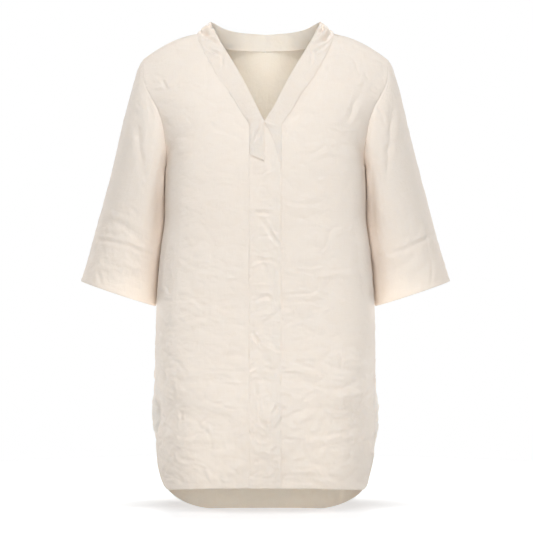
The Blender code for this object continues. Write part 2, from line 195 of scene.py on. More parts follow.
def monotone(keys, values, at, corners=()):
    """Values of a table at the given keys, smooth and without overshoot between its rows (monotone cubic).

    At a row in corners the slope is the one between that row and the row paired with it.
    """
    keys = np.asarray(keys, float)
    values = np.asarray(values, float)
    width = np.diff(keys)[:, None]
    rise = np.diff(values, axis=0) / width
    slope = np.vstack([rise[:1], np.zeros_like(rise[1:]), rise[-1:]])
    before, after = rise[:-1], rise[1:]
    same_way = before * after > 0
    near, far = 2 * width[1:] + width[:-1], width[1:] + 2 * width[:-1]
    with np.errstate(divide="ignore", invalid="ignore"):
        mean = (near + far) / (near / before + far / after)
    slope[1:-1] = np.where(same_way, mean, 0)
    for corner, span in corners:
        slope[corner] = rise[span]
    row = np.clip(np.searchsorted(keys, at, side="right") - 1, 0, len(keys) - 2)
    h = width[row]
    s = ((np.asarray(at, float) - keys[row])[:, None]) / h
    return (
        values[row] * (1 + 2 * s) * (1 - s) ** 2
        + slope[row] * h * s * (1 - s) ** 2
        + values[row + 1] * s * s * (3 - 2 * s)
        + slope[row + 1] * h * s * s * (s - 1)
    )


def bezier(start, start_way, end_way, end, t):
    t = t[..., None]
    u = 1 - t
    return start * u**3 + 3 * start_way * t * u**2 + 3 * end_way * t * t * u + end * t**3


def smoothstep(low, high, value):
    s = np.clip((value - low) / (high - low), 0, 1)
    return s * s * (3 - 2 * s)


def edges(table, drop):
    """The in and out edges of a panel at each drop. The neck seam runs level across the centre back."""
    smooth = monotone(drops(table), table, drop, SIDE_SEAM_ENDS)
    if table is BACK:
        above = slice(CENTRE_BACK + 1)
        neck = monotone(drops(table)[above], table[above], np.clip(drop, 0, NECK_DROP))
        smooth[:, 0] = np.where(drop < NECK_DROP, neck[:, 0], 0)
    return Section(*smooth.T)


def section_points(table, hem, drop, t, underlap=0.0):
    """Points (x, depth, z) of a half panel: drop picks the section, t runs from its in to its out edge."""
    columns = edges(table, drop)
    passed_neck = np.clip((drop - drops(table)[V_POINT]) / V_RUN, 0, 1)
    start = np.column_stack([columns.in_x - underlap * passed_neck, columns.in_depth])
    end = np.column_stack([columns.out_x, columns.out_depth])
    reach = columns.full * np.linalg.norm(end - start, axis=1)
    lean, turn = np.radians(columns.lean), np.radians(columns.turn)
    start_way = start + reach[:, None] * np.column_stack([np.cos(lean), -np.sin(lean)])
    end_way = end - reach[:, None] * np.column_stack([np.cos(turn), -np.sin(turn)])
    flat = bezier(start, start_way, end_way, end, t)
    along = (1 - columns.ease) * t + columns.ease * t * t
    corner = np.clip((t - hem.start) / (1 - hem.start), 0, 1) ** hem.power
    dip = hem.dip * np.clip(t / hem.start, 0, 1) ** 2
    near_hem = np.clip(1 - (drops(table)[-1] - drop) / hem.fade, 0, 1)
    level = columns.in_z + (columns.out_z - columns.in_z) * along
    return np.column_stack([flat, level + near_hem * (dip + (hem.rise - hem.dip) * corner)])


def panel_points(table, hem, drop, t, facing, side, underlap=0.0):
    """A grid of points of a half panel, with a row for each drop and a column for each t."""
    rows, columns = len(drop), len(t)
    points = section_points(table, hem, np.repeat(drop, columns), np.tile(t, rows), underlap)
    return points.reshape(rows, columns, 3) * (side, facing, 1)


def even_drops(table, hem, count):
    """Places on the grade whose sections lie evenly far apart along the middle of the panel."""
    grade = drops(table)
    fine = np.linspace(grade[0], grade[-1], 1200)
    length = walked(section_points(table, hem, fine, np.full_like(fine, 0.35)), 0)
    return np.interp(np.linspace(0, length[-1], count), length, fine)


# ---------------------------------------------------------------- cloth

HEM_WIDTH = 7
HEM_STITCH = HEM_WIDTH - 1.4

# A crease: its two ends and its middle, width and depth, in the plane that it is drawn on. A ridge has a
# negative depth. tilt: how much one side of it stands up.
Crease = namedtuple("Crease", "x1 z1 xm zm x2 z2 width depth tilt")


def lattice_noise(points, size, seed):
    """Smooth noise in -1..1 over points in millimetres, with features of about the given size."""
    table = np.random.default_rng(seed).uniform(-1, 1, (32, 32, 32))
    place = points / size + 100
    cell = np.floor(place).astype(int)
    f = place - cell
    f = f * f * f * (f * (f * 6 - 15) + 10)
    total = 0
    for corner in np.ndindex(2, 2, 2):
        value = table[tuple((cell[..., k] + corner[k]) % 32 for k in range(3))]
        share = np.prod([f[..., k] if corner[k] else 1 - f[..., k] for k in range(3)], axis=0)
        total = total + value * share
    return total


def crumple(points, size, seed):
    """Sharp, wandering creases between soft hollows, from about -1 to 1."""
    wander = np.stack([lattice_noise(points, size * 1.3, seed + k) for k in (1, 2, 3)], axis=-1)
    bent = points + wander * size * 0.9
    ridge = 1 - np.abs(lattice_noise(bent, size, seed + 4)) * 3
    fine = 1 - np.abs(lattice_noise(bent + wander * size * 0.4, size * 0.47, seed + 5)) * 3
    return 0.7 * ridge + 0.3 * fine


def beside_path(path, points):
    """Each point's nearest place on a path, and how far it lies aside of it and beyond it."""
    away = points[:, None] - path[None]
    nearest = np.argmin(np.sum(away**2, axis=-1), axis=1)
    tangent = np.gradient(path, axis=0)
    tangent /= np.linalg.norm(tangent, axis=1)[:, None] + 1e-9
    off = away[np.arange(len(away)), nearest]
    way = tangent[nearest]
    aside = off[:, 0] * way[:, 1] - off[:, 1] * way[:, 0]
    return nearest, aside, np.abs(off[:, 0] * way[:, 0] + off[:, 1] * way[:, 1])


def crease_depth(plane, creases, mask):
    """How far a table of creases pushes the cloth in, over the plane that they are drawn on.

    Each wanders a little off its line, and is deeper in some places than in others.
    """
    flat = np.concatenate([plane, 0 * plane[..., :1]], axis=-1)
    wander = [2.4 * lattice_noise(flat, 24, k) + 1.0 * lattice_noise(flat, 9, k + 2) for k in (5, 6)]
    plane = plane + np.stack(wander, axis=-1)
    depth = np.zeros(mask.shape)
    steps = np.linspace(0, 1, 17)
    for crease in creases:
        a, m, b = np.array(crease[:6], float).reshape(3, 2)
        pull = 2 * m - (a + b) / 2
        path = bezier(a, (a + 2 * pull) / 3, (b + 2 * pull) / 3, b, steps)
        reach = 3 * crease.width
        inside = (plane > path.min(axis=0) - reach) & (plane < path.max(axis=0) + reach)
        near = np.all(inside, axis=-1) & (mask > 0)
        if not near.any():
            continue
        nearest, aside, beyond = beside_path(path, plane[near])
        aside, beyond = aside / crease.width, beyond / crease.width
        ends = np.sqrt(np.sin(np.pi * np.clip(steps[nearest], 0.03, 0.97)))
        sharp = np.exp(-np.abs(1.4 * aside) ** 1.3) - 0.35 * np.exp(-((np.abs(aside) - 1.5) ** 2) / 0.5)
        lip = crease.tilt * aside * np.exp(-(aside**2))
        shape = (sharp + lip) * np.exp(-np.maximum(0, beyond - 0.3) ** 2)
        depth[near] += crease.depth * ends * shape * mask[near]
    return depth * (1 + 0.7 * lattice_noise(flat, 15, 9))


def normals(points):
    """Unit normals of a grid of points, with rows down the cloth and columns across it."""
    normal = np.cross(np.gradient(points, axis=0), np.gradient(points, axis=1))
    return normal / (np.linalg.norm(normal, axis=-1)[..., None] + 1e-12)


def walked(points, axis):
    """Length of cloth from the first row or column of a grid of points."""
    step = np.linalg.norm(np.diff(points, axis=axis), axis=-1)
    start = np.zeros_like(np.take(step, [0], axis=axis))
    return np.concatenate([start, np.cumsum(step, axis=axis)], axis=axis)


def part_way(at, length, line):
    """The points of a line at the given lengths along it."""
    return np.stack([np.interp(at, length, line[:, k]) for k in range(3)], axis=-1)


def unit(vectors):
    return vectors / np.linalg.norm(vectors, axis=-1, keepdims=True)


def squareness(points):
    """Sine of the angle between the rows and the columns of a grid."""
    down, across = np.gradient(points, axis=0), np.gradient(points, axis=1)
    area = np.linalg.norm(np.cross(down, across), axis=-1)
    return area / (np.linalg.norm(down, axis=-1) * np.linalg.norm(across, axis=-1) + 1e-12)


# A grid of cloth: its points and outward normals, its grain (across, down), and the distance to each edge.
Cloth = namedtuple("Cloth", "points normals grain from_in from_out from_top from_hem")


def lay_out(points, middle):
    """A cloth from a grid of points whose outside faces away from middle."""
    normal = normals(points)
    if np.sum(normal * (points - middle)) < 0:
        normal = -normal
    across, down = walked(points, 1), walked(points, 0)
    square = squareness(points)
    grain = np.stack([np.abs(points[:, :1, 0]) + across, points[:1, :, 2] - down], axis=-1)
    return Cloth(
        points,
        normal,
        grain,
        across * square[:, :1],
        (across[:, -1:] - across) * square[:, -1:],
        down * square[:1],
        (down[-1:] - down) * square[-1:],
    )


def add_object(name, data):
    obj = bpy.data.objects.new(name, data)
    bpy.context.scene.collection.objects.link(obj)
    return obj


def add_mesh(name, bm, material, smooth=True):
    """An object in the scene, made of a finished mesh."""
    mesh = bpy.data.meshes.new(name)
    bm.to_mesh(mesh)
    bm.free()
    mesh.materials.append(material)
    if smooth:
        mesh.shade_smooth()
    return add_object(name, mesh)


def push(cloth, depth):
    """The cloth's points, moved in by depth along its normals."""
    return cloth.points - cloth.normals * depth[..., None]


def seam_roll(distance, depth=0.35, width=1.3):
    """Cloth turns in where it meets a seam."""
    return depth * np.exp(-((distance / width) ** 2))


def hem_relief(distance, width=7.0, rise=0.4):
    """A turned-up hem stands proud, its stitching draws a groove, and its fold is round."""
    fold = -rise * (1 - smoothstep(width - 0.7, width + 0.7, distance))
    groove = 0.25 * np.exp(-(((distance - width + 1.4) / 0.8) ** 2))
    return fold + groove + seam_roll(distance, 0.5, 0.9)


def puckers(distance, along, size, seed, depth=0.4, spread=6.0):
    """Small gathers that a seam's thread draws into the cloth beside it."""
    line = np.stack([along, np.full_like(along, 3.0), distance * 0.3], axis=-1)
    return depth * lattice_noise(line, size, seed) * np.exp(-((distance / spread) ** 2))


def bordered(grid, close):
    """A grid with one more row or column close to each of its borders, for a tighter turn at its edge."""
    for axis in (0, 1):
        last = grid.shape[axis] - 1
        place = np.concatenate([[0, close], np.arange(1, last), [last - close, last]])
        low = np.minimum(place.astype(int), last - 1)
        share = (place - low).reshape((-1, 1, 1) if axis == 0 else (1, -1, 1))
        grid = np.take(grid, low, axis) * (1 - share) + np.take(grid, low + 1, axis) * share
    return grid


def make_sheet(name, parts, thickness, material, close):
    """A shell from one or more grids of points, joined where they meet. Its UV map is the grain in metres."""
    bm = bmesh.new()
    layer = bm.loops.layers.uv.new("grain")
    for cloth, points in parts:
        points, grain_at, normal_at = (bordered(grid, close) for grid in (points, cloth.grain, cloth.normals))
        rows, columns = points.shape[:2]
        made = bmesh.ops.create_grid(bm, x_segments=columns - 1, y_segments=rows - 1, size=0.5)["verts"]
        place = np.array([vertex.co[:2] for vertex in made]) + 0.5
        column = np.rint(place[:, 0] * (columns - 1)).astype(int)
        row = np.rint((1 - place[:, 1]) * (rows - 1)).astype(int)
        for vertex, point, grain in zip(made, points[row, column] * MM, grain_at[row, column] * MM):
            vertex.co = point
            for loop in vertex.link_loops:
                loop[layer].uv = grain
        middle = len(made) // 2
        made[middle].normal_update()
        faces = list({face for vertex in made for face in vertex.link_faces})
        for face in faces:
            face.normal_update()
        if made[middle].link_faces[0].normal.dot(Vector(normal_at[row[middle], column[middle]])) < 0:
            bmesh.ops.reverse_faces(bm, faces=faces)
    bmesh.ops.remove_doubles(bm, verts=bm.verts, dist=0.02 * MM)
    obj = add_mesh(name + "_cloth", bm, material)
    wall = obj.modifiers.new("Wall", "SOLIDIFY")
    wall.thickness = thickness * MM
    wall.offset = -1
    return obj


# A run of stitches along a line on the cloth.
Seam = namedtuple("Seam", "points normals")


def across_rows(points, normal, distance, at):
    """The line over a cloth's rows where the distance to an edge is at."""
    line, up = [], []
    for row in range(len(points)):
        order = np.argsort(distance[row])
        line.append(part_way(at, distance[row][order], points[row, order]))
        up.append(part_way(at, distance[row][order], normal[row, order]))
    return Seam(np.array(line), np.array(up))


def hem_line(cloth, points):
    """Where the hem is stitched."""
    return across_rows(points.swapaxes(0, 1), cloth.normals.swapaxes(0, 1), cloth.from_hem.T, HEM_STITCH)


def part_of(seam, keep):
    return Seam(seam.points[keep], seam.normals[keep])


def sew(name, seams, material, length=2.6, gap=0.9, radius=0.2):
    """Rows of small stitches sunk half into the cloth."""
    bm = bmesh.new()
    for seam in seams:
        along = walked(seam.points, 0)
        for start in np.arange(gap, along[-1] - length, length + gap):
            a, b = (part_way(start + reach, along, seam.points) for reach in (0, length))
            way = unit(b - a)
            side = unit(np.cross(part_way(start, along, seam.normals), way))
            up = np.cross(way, side)
            middle = (a + b) / 2 + up * radius * 0.35
            frame_of = Matrix.Translation(middle * MM) @ Matrix(
                np.column_stack([way * length / 2, side * radius, up * radius]).tolist()
            ).to_4x4()
            bmesh.ops.create_icosphere(bm, subdivisions=1, radius=1, matrix=frame_of @ Matrix.Scale(MM, 4))
    obj = add_mesh(name, bm, material)
    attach(obj, "root")
    return obj


# ---------------------------------------------------------------- materials

THREAD_PITCH = 0.00062


def set_inputs(tree, node, values):
    """Each input is given a value, or is linked where the value is another node's socket."""
    for key, value in values.items():
        if isinstance(value, bpy.types.NodeSocket):
            tree.links.new(value, node.inputs[key])
        else:
            node.inputs[key].default_value = value


def add_node(tree, kind, values=None, **settings):
    node = tree.nodes.new(kind)
    for key, value in settings.items():
        setattr(node, key, value)
    set_inputs(tree, node, values or {})
    return node


def math_node(tree, operation, *values, clamp=False):
    node = add_node(tree, "ShaderNodeMath", dict(enumerate(values)), operation=operation, use_clamp=clamp)
    return node.outputs[0]


def bump_node(tree, strength, distance, **sockets):
    values = {"Strength": strength, "Distance": distance, **sockets}
    return add_node(tree, "ShaderNodeBump", values).outputs[0]


def mix_node(tree, factor, first, second):
    values = {"Factor": factor, "A": first, "B": second}
    return add_node(tree, "ShaderNodeMix", values, data_type="RGBA").outputs["Result"]


def range_node(tree, value, low, high, **ends):
    values = {"Value": value, "From Min": low, "From Max": high}
    return add_node(tree, "ShaderNodeMapRange", values | ends).outputs[0]


def noise_node(tree, place, scale, detail, **values):
    values = {"Vector": place, "Scale": scale, "Detail": detail, **values}
    return add_node(tree, "ShaderNodeTexNoise", values)


def new_material(name):
    material = bpy.data.materials.new(name)
    material.use_nodes = True
    return material, material.node_tree


def linen_group():
    """Plain-weave linen: uneven threads with slubs, and soft creasing finer than the mesh holds."""
    group = bpy.data.node_groups.new("linen weave", "ShaderNodeTree")
    for name in ("Grain", "Place"):
        group.interface.new_socket(name, in_out="INPUT", socket_type="NodeSocketVector")
    for name in ("Threads", "Slubs", "Tone", "Crumple"):
        group.interface.new_socket(name, in_out="OUTPUT", socket_type="NodeSocketFloat")
    inlet = group.nodes.new("NodeGroupInput")
    grain, place = inlet.outputs["Grain"], inlet.outputs["Place"]

    sway = noise_node(group, grain, 90.0, 1.0).outputs["Color"]
    swayed = {0: sway, 1: (0.0012, 0.0012, 0), 2: grain}
    swayed = add_node(group, "ShaderNodeVectorMath", swayed, operation="MULTIPLY_ADD")
    split = add_node(group, "ShaderNodeSeparateXYZ", {0: swayed.outputs[0]})
    turns = [math_node(group, "DIVIDE", split.outputs[k], THREAD_PITCH) for k in (0, 1)]
    waves = [math_node(group, "SINE", math_node(group, "MULTIPLY", turn, math.pi)) for turn in turns]
    crossing = math_node(group, "ABSOLUTE", math_node(group, "MULTIPLY", *waves))

    streaks = []
    for stretch in ((1400.0, 36.0, 0.0), (40.0, 1300.0, 0.0)):
        along = add_node(group, "ShaderNodeMapping", {"Vector": grain, "Scale": stretch})
        streak = noise_node(group, along.outputs[0], 1.0, 2.0, Roughness=0.6)
        streaks.append(range_node(group, streak.outputs["Fac"], 0.35, 0.75))
    slubs = math_node(group, "MULTIPLY", math_node(group, "ADD", *streaks), 0.5)

    tone = noise_node(group, place, 9.0, 4.0, Roughness=0.6).outputs["Fac"]
    soft = noise_node(group, place, 70.0, 4.0, Roughness=0.55, Distortion=0.8).outputs["Fac"]
    folded = math_node(group, "ABSOLUTE", math_node(group, "SUBTRACT", soft, 0.5))
    crumpled = math_node(group, "SUBTRACT", 1.0, math_node(group, "MULTIPLY", folded, 3.0))
    made = {"Threads": crossing, "Slubs": slubs, "Tone": tone, "Crumple": crumpled}
    add_node(group, "NodeGroupOutput", made)
    return group


def linen(name, group, colour, deep, through=0.5, creasing=0.35, behind=None):
    """Undyed linen: its colour, the deeper colour between its threads, and how much light it lets through.

    A piece that goes all round may have a second, lighter colour behind. That colour is painted light, where
    its inside is seen in shade.
    """
    material, tree = new_material(name)
    grain = add_node(tree, "ShaderNodeUVMap", uv_map="grain").outputs[0]
    place = add_node(tree, "ShaderNodeTexCoord").outputs["Object"]
    weave = add_node(tree, "ShaderNodeGroup", node_tree=group)
    set_inputs(tree, weave, {"Grain": grain, "Place": place})
    threads, slubs, tone, crumpled = weave.outputs

    light_threads = math_node(tree, "MULTIPLY", threads, 0.5)
    streaked = math_node(tree, "MULTIPLY", slubs, 0.45)
    toned = math_node(tree, "MULTIPLY", tone, 0.35)
    total = math_node(tree, "ADD", math_node(tree, "ADD", light_threads, streaked), toned, clamp=True)
    mixed = mix_node(tree, total, (*deep, 1), (*colour, 1))
    # Painted light: the part behind takes the second, lighter colour.
    if behind:
        split = add_node(tree, "ShaderNodeSeparateXYZ", {0: place})
        mixed = mix_node(tree, range_node(tree, split.outputs[1], -0.01, 0.04), mixed, (*behind, 1))

    creased = bump_node(tree, creasing, 0.0012, Height=crumpled)
    slubbed = bump_node(tree, 0.35, 0.0003, Height=slubs, Normal=creased)
    look = {
        "Base Color": mixed,
        "Normal": bump_node(tree, 0.3, 0.0002, Height=threads, Normal=slubbed),
        "Roughness": 0.95,
        "Specular IOR Level": 0.12,
        "Sheen Weight": 0.02,
        "Subsurface Weight": through,
        "Subsurface Radius": (1.0, 0.9, 0.8),
        "Subsurface Scale": 0.0025,
    }
    set_inputs(tree, tree.nodes["Principled BSDF"], look)
    return material


def thread(name, colour, deep):
    """Sewing thread: two plies twisted together."""
    material, tree = new_material(name)
    place = add_node(tree, "ShaderNodeTexCoord").outputs["Object"]
    twist = {"Vector": place, "Scale": 900.0, "Distortion": 1.0}
    ply = add_node(tree, "ShaderNodeTexWave", twist, bands_direction="DIAGONAL").outputs["Fac"]
    look = {
        "Base Color": mix_node(tree, ply, (*deep, 1), (*colour, 1)),
        "Normal": bump_node(tree, 0.5, 0.0001, Height=ply),
        "Roughness": 0.6,
        "Sheen Weight": 0.1,
    }
    set_inputs(tree, tree.nodes["Principled BSDF"], look)
    return material


# ---------------------------------------------------------------- fronts

THICKNESS = 0.7
BODY_MIDDLE = np.array([0, 0, -400])
PANEL_ROWS = 380
PANEL_COLUMNS = 96
UNDERLAP_PRESS = 1.5
UNDERLAP_STITCH_TOP = -215
LEFT_CRUMPLE = 1.2

FRONT_CREASES = named(Crease, [
    (-103, -554, -65, -552, -24, -553, 3.0, 1.0, 0.5),
    (-90, -580, -58, -577, -24, -579, 2.6, 0.8, -0.4),
    (-70, -617, -50, -614, -28, -618, 2.6, 0.9, 0.4),
    (-129, -690, -110, -648, -80, -616, 4.0, 1.4, 0.4),
    (-133, -608, -135, -630, -132, -655, 3.5, 1.0, 0.3),
    (-149, -575, -152, -588, -150, -602, 3.5, 1.0, -0.3),
    (-74, -716, -73, -728, -69, -740, 4.0, 1.4, 0.3),
    (-151, -325, -158, -400, -160, -480, 8.0, 2.2, 0.2),
    (-171, -80, -167, -88, -161, -97, 4.0, 1.2, 0.2),
    (-126, -146, -122, -151, -117, -157, 3.0, 0.6, 0.2),
    (-120, -203, -115, -207, -110, -213, 3.0, 0.6, 0.2),
    (30, -541, 60, -538, 92, -540, 3.0, 1.0, -0.5),
    (25, -558, 43, -556, 66, -557, 2.6, 0.8, 0.4),
    (25, -568, 35, -567, 48, -566, 2.4, 0.7, 0.3),
    (30, -238, 48, -233, 73, -236, 3.5, 0.4, 0.3),
    (119, -520, 121, -542, 119, -565, 3.5, 0.9, 0.3),
    (148, -340, 156, -410, 162, -475, 8.0, 2.2, -0.2),
    (166, -80, 150, -115, 130, -158, 6.0, 1.4, 0.2),
    (86, -50, 97, -64, 108, -80, 5.0, 1.3, 0.3),
])

# How far the slit's front edge swings out, at each height.
SLIT_SWING = {
    -1: [
        (-590, 0), (-606, -2), (-622, -4), (-644, -4.5), (-664, -1),
        (-682, 1), (-700, 0.4), (-720, 0.8), (-740, 0),
    ],
    1: [(-590, 0), (-612, 1.5), (-632, 4), (-652, 1), (-672, -1.5), (-694, 0.8), (-716, -0.6), (-740, 0)],
}


def front_cloth(side):
    drop = even_drops(FRONT, FRONT_CORNER, PANEL_ROWS)
    t = side_spread(np.linspace(0, 1, PANEL_COLUMNS))
    points = panel_points(FRONT, FRONT_CORNER, drop, t, FRONT_SIDE, side, UNDERLAP if side > 0 else 0)
    heights, swings = np.array(SLIT_SWING[side], float).T
    even = np.linspace(heights[-1], heights[0], 120)
    swing = monotone(-heights, swings[:, None], -even)[:, 0]
    points[..., 0] += side * smoothstep(0.72, 1, t) * np.interp(points[..., 2], even, swing, 0, 0)
    return lay_out(points, BODY_MIDDLE)


def side_spread(u):
    """Columns lie closer together towards the side, where the cloth turns."""
    return u * (1.35 - 0.35 * u)


def ease_of(points):
    """How crumpled the cloth is from wear: least at the shoulders, most above the hem."""
    z = points[..., 2]
    return 0.3 + 0.2 * smoothstep(-250, -450, z) + 0.36 * smoothstep(-480, -640, z)


def panel_edges(cloth):
    """Distance to a panel's seam at the shoulder, armhole and side, and to its open edge below."""
    above = cloth.points[..., 2] - SLIT_TOP
    sewn = np.minimum(cloth.from_top, cloth.from_out + np.maximum(0, -above))
    return sewn, np.minimum(cloth.from_hem, cloth.from_out + np.maximum(0, above))


def faced(cloth, facing):
    """Where a cloth faces the front or the back, from 0 to 1."""
    return smoothstep(0, 0.35, facing * cloth.normals[..., 1])


def beside_sleeve(points):
    """Where the body lies against a sleeve, from 0 to 1."""
    x, z = np.abs(points[..., 0]), points[..., 2]
    return smoothstep(132, 150, x) * smoothstep(-490, -450, z) * smoothstep(-190, -225, z)


def worn(cloth, creases, seed, facing, amount=1.0):
    """Depth of the creases that wear leaves in a body panel. facing is the side that it is seen from."""
    points = cloth.points
    soft = 1.3 * lattice_noise(points, 95, seed)
    across = points * (0.8, 0.8, 1.3)
    folded = crumple(across, 38, seed + 10) + 0.55 * crumple(across, 16, seed + 20)
    sharp = ease_of(points) * amount * folded
    depth = soft + 1.7 * sharp + crease_depth(points[..., [0, 2]], creases, faced(cloth, facing))
    held = beside_sleeve(points)
    return depth * (1 - held) + np.abs(depth) * 0.5 * held


def edge_lines(cloth, points):
    """Where a body panel's hem and slit edge are stitched."""
    hem = hem_line(cloth, points)
    slit = across_rows(points, cloth.normals, cloth.from_out, HEM_STITCH)
    on_slit = (slit.points[:, 2] < SLIT_TOP) & (cloth.from_hem[:, -1] > HEM_WIDTH)
    return [part_of(hem, cloth.from_out[-1] > HEM_WIDTH), part_of(slit, on_slit)]


def make_front(name, side, seed, material, stitching):
    cloth = front_cloth(side)
    depth = worn(cloth, FRONT_CREASES, seed, FRONT_SIDE, 1.0 if side < 0 else LEFT_CRUMPLE)
    seams, free = panel_edges(cloth)
    along_neck = walked(cloth.points[:, :1], 0)
    calm = smoothstep(0, 14, np.minimum(seams, free)) * smoothstep(0, 10, cloth.from_in)
    depth = depth * calm
    depth += seam_roll(seams) + puckers(seams, walked(cloth.points, 0), 9, seed + 30)
    depth += hem_relief(free, HEM_WIDTH) + puckers(free, walked(cloth.points, 1), 12, seed + 31, 1.2, 9)
    depth += puckers(cloth.from_in, along_neck + 0 * cloth.from_in, 10, seed + 32, 0.3)
    if side > 0:
        under_band = smoothstep(-244, -216, cloth.points[..., 2])
        depth += UNDERLAP_PRESS * smoothstep(17, 9, cloth.from_in) * under_band
    points = push(cloth, depth)
    lines = edge_lines(cloth, points)
    if side > 0:
        edge = across_rows(points, cloth.normals, cloth.from_in, UNDERLAP + 4.5)
        lines.append(part_of(edge, edge.points[:, 2] < UNDERLAP_STITCH_TOP))
    make_piece(name, [(cloth, points)], material, lines, stitching)


# ---------------------------------------------------------------- back

BACK_ROWS = 262
BACK_COLUMNS = 80
NECK_ROLL = 2.2
NECK_ROLL_AT = 14
BACK_CREASES = named(Crease, [
    (-60, -180, 0, -172, 60, -184, 9.0, 1.6, 0.2),
    (-95, -330, -98, -420, -92, -520, 9.0, 2.2, 0.2),
    (88, -300, 94, -400, 90, -500, 9.0, 2.0, -0.2),
    (-120, -560, -70, -553, -20, -558, 3.4, 1.1, 0.4),
    (15, -545, 60, -540, 110, -548, 3.2, 1.0, -0.4),
    (-100, -610, -55, -602, -15, -612, 3.0, 0.9, 0.3),
    (30, -600, 75, -596, 118, -606, 3.0, 0.9, 0.4),
    (-140, -700, -110, -660, -70, -625, 4.5, 1.5, 0.3),
    (60, -640, 95, -680, 120, -730, 4.0, 1.3, -0.3),
    (-40, -700, -10, -706, 25, -700, 3.2, 1.0, 0.3),
    (-30, -760, -26, -780, -30, -802, 4.0, 1.2, 0.2),
    (80, -755, 84, -775, 80, -796, 4.0, 1.2, -0.2),
])


def back_half(side):
    """A half of the back, and each point's distance from the neck seam."""
    drop = even_drops(BACK, BACK_CORNER, BACK_ROWS)
    t = side_spread(np.linspace(0, 1, BACK_COLUMNS))
    cloth = lay_out(panel_points(BACK, BACK_CORNER, drop, t, BACK_SIDE, side), BODY_MIDDLE)
    below_neck = drop >= NECK_DROP
    cloth.normals[below_neck, 0, 0] = 0
    cloth.normals[:, 0] = unit(cloth.normals[:, 0])
    edge = edges(BACK, np.linspace(drops(BACK)[0], NECK_DROP, 60))
    edge = np.column_stack([side * edge.in_x, edge.in_depth, edge.in_z])
    return cloth, np.linalg.norm(cloth.points[:, :, None] - edge, axis=-1).min(axis=-1)


def make_back(material, stitching):
    parts, lines = [], []
    for side in (-1, 1):
        cloth, neck = back_half(side)
        depth = worn(cloth, BACK_CREASES, 40, BACK_SIDE)
        seams, free = panel_edges(cloth)
        calm = smoothstep(0, 14, np.minimum(seams, free)) * smoothstep(0, 45, neck)
        depth = depth * calm
        sewn = seam_roll(seams) + puckers(seams, walked(cloth.points, 0), 9, 45)
        depth += sewn * smoothstep(2, 10, neck)
        below = neck / NECK_ROLL_AT
        depth += NECK_ROLL * below * np.exp(1 - below) * smoothstep(78, 52, np.abs(cloth.points[..., 0]))
        depth += hem_relief(free, HEM_WIDTH)
        points = push(cloth, depth)
        parts.append((cloth, points))
        lines += edge_lines(cloth, points)
    make_piece("back", parts, material, lines, stitching, close=0.1)


# ---------------------------------------------------------------- placket

PLACKET_ROWS = 400
PLACKET_COLUMNS = 30
PLACKET_STITCH_TOP = -212
PLACKET_CREASES = named(Crease, [
    (-22, -302, -8, -300, 8, -303, 4.1, 2.3, 0.4),
    (-6, -314, 7, -332, 19, -347, 4.1, 2.5, 0.4),
    (-22, -380, -5, -377, 16, -381, 4.1, 2.3, -0.4),
    (-20, -496, -14, -503, -5, -514, 3.8, 2.3, 0.4),
    (12, -518, 17, -521, 23, -523, 3.5, 1.7, 0.3),
    (-2, -547, 6, -550, 14, -550, 3.5, 1.9, 0.3),
    (-18, -573, -6, -571, 8, -574, 4.1, 2.3, -0.4),
    (22, -607, 14, -622, 8, -642, 4.1, 2.6, 0.3),
    (8, -642, 0, -662, -20, -656, 4.3, 2.6, 0.3),
    (23, -670, 19, -678, 14, -687, 3.8, 1.9, 0.3),
    (-20, -694, -14, -697, -6, -695, 3.8, 1.9, 0.3),
    (-15, -440, 0, -436, 15, -441, 4.1, 1.6, 0.3),
    (-12, -142, -17, -156, -23, -168, 4.1, 1.2, 0.3),
    (-22, -212, -8, -215, 6, -222, 4.1, 1.3, 0.3),
])

# The placket's free edge from the V down: height and x.
PLACKET_EDGE = [(-150, 18), (-214, 21), (-226, 24.2), (-234, 25.3), (-760, 25.3)]


def placket_cloth():
    """The placket, whose top lies flat under the two ends of the band."""
    grade = drops(FRONT)
    drop = np.linspace(grade[V_POINT] + PLACKET_DROP, grade[-1], PLACKET_ROWS)[:, None]
    u = np.linspace(0, 1, PLACKET_COLUMNS)[None]
    line = edges(FRONT, drop[:, 0])
    peak = PLACKET_PEAK * u * np.clip(1 - (drop - drop[0]) / V_RUN, 0, 1)
    z = line.in_z[:, None] + peak
    heights, places = np.array(PLACKET_EDGE, float).T
    right = np.interp(-z[:, -1:], -heights, places)
    left = -HALF_PLACKET - 0.8
    x = left + (right - left) * u
    lift = (PLACKET_LIFT - 0.25) * smoothstep(-208, -238, z)
    lies_over = 0.25 + lift * smoothstep(-8, 6, x)
    y = PLACKET_PEAK_SLOPE * peak - line.in_depth[:, None] - lies_over
    return lay_out(np.stack([x, y, z], axis=-1), BODY_MIDDLE)


def make_placket(material, stitching):
    cloth = placket_cloth()
    points = cloth.points
    depth = 2.2 * ease_of(points) * (crumple(points, 34, 61) + 0.35 * crumple(points, 15, 62))
    depth += crease_depth(points[..., [0, 2]], PLACKET_CREASES, np.ones(points.shape[:2]))
    depth *= smoothstep(0, 4, cloth.from_hem)
    depth = np.clip(depth, -1.8, 0.9 + 1.6 * smoothstep(11, 4, points[..., 0]))
    depth += seam_roll(cloth.from_out, 0.35, 0.8) + puckers(cloth.from_out, walked(points, 0), 12, 63, 0.5, 6)
    depth += hem_relief(cloth.from_hem, HEM_WIDTH, 0.3)
    points = push(cloth, depth)
    edge = across_rows(points, cloth.normals, cloth.from_in, 1.6)
    edge = part_of(edge, edge.points[:, 2] < PLACKET_STITCH_TOP)
    make_piece("placket", [(cloth, points)], material, [edge, hem_line(cloth, points)], stitching)


# ---------------------------------------------------------------- neck band

BAND_ROWS = 560
BAND_COLUMNS = 22
BAND_CROWN = 0.6
BAND_THICKNESS = 0.8
WRINKLES_START = -90
TAB_START = 200
BAND_STITCH_END = 210

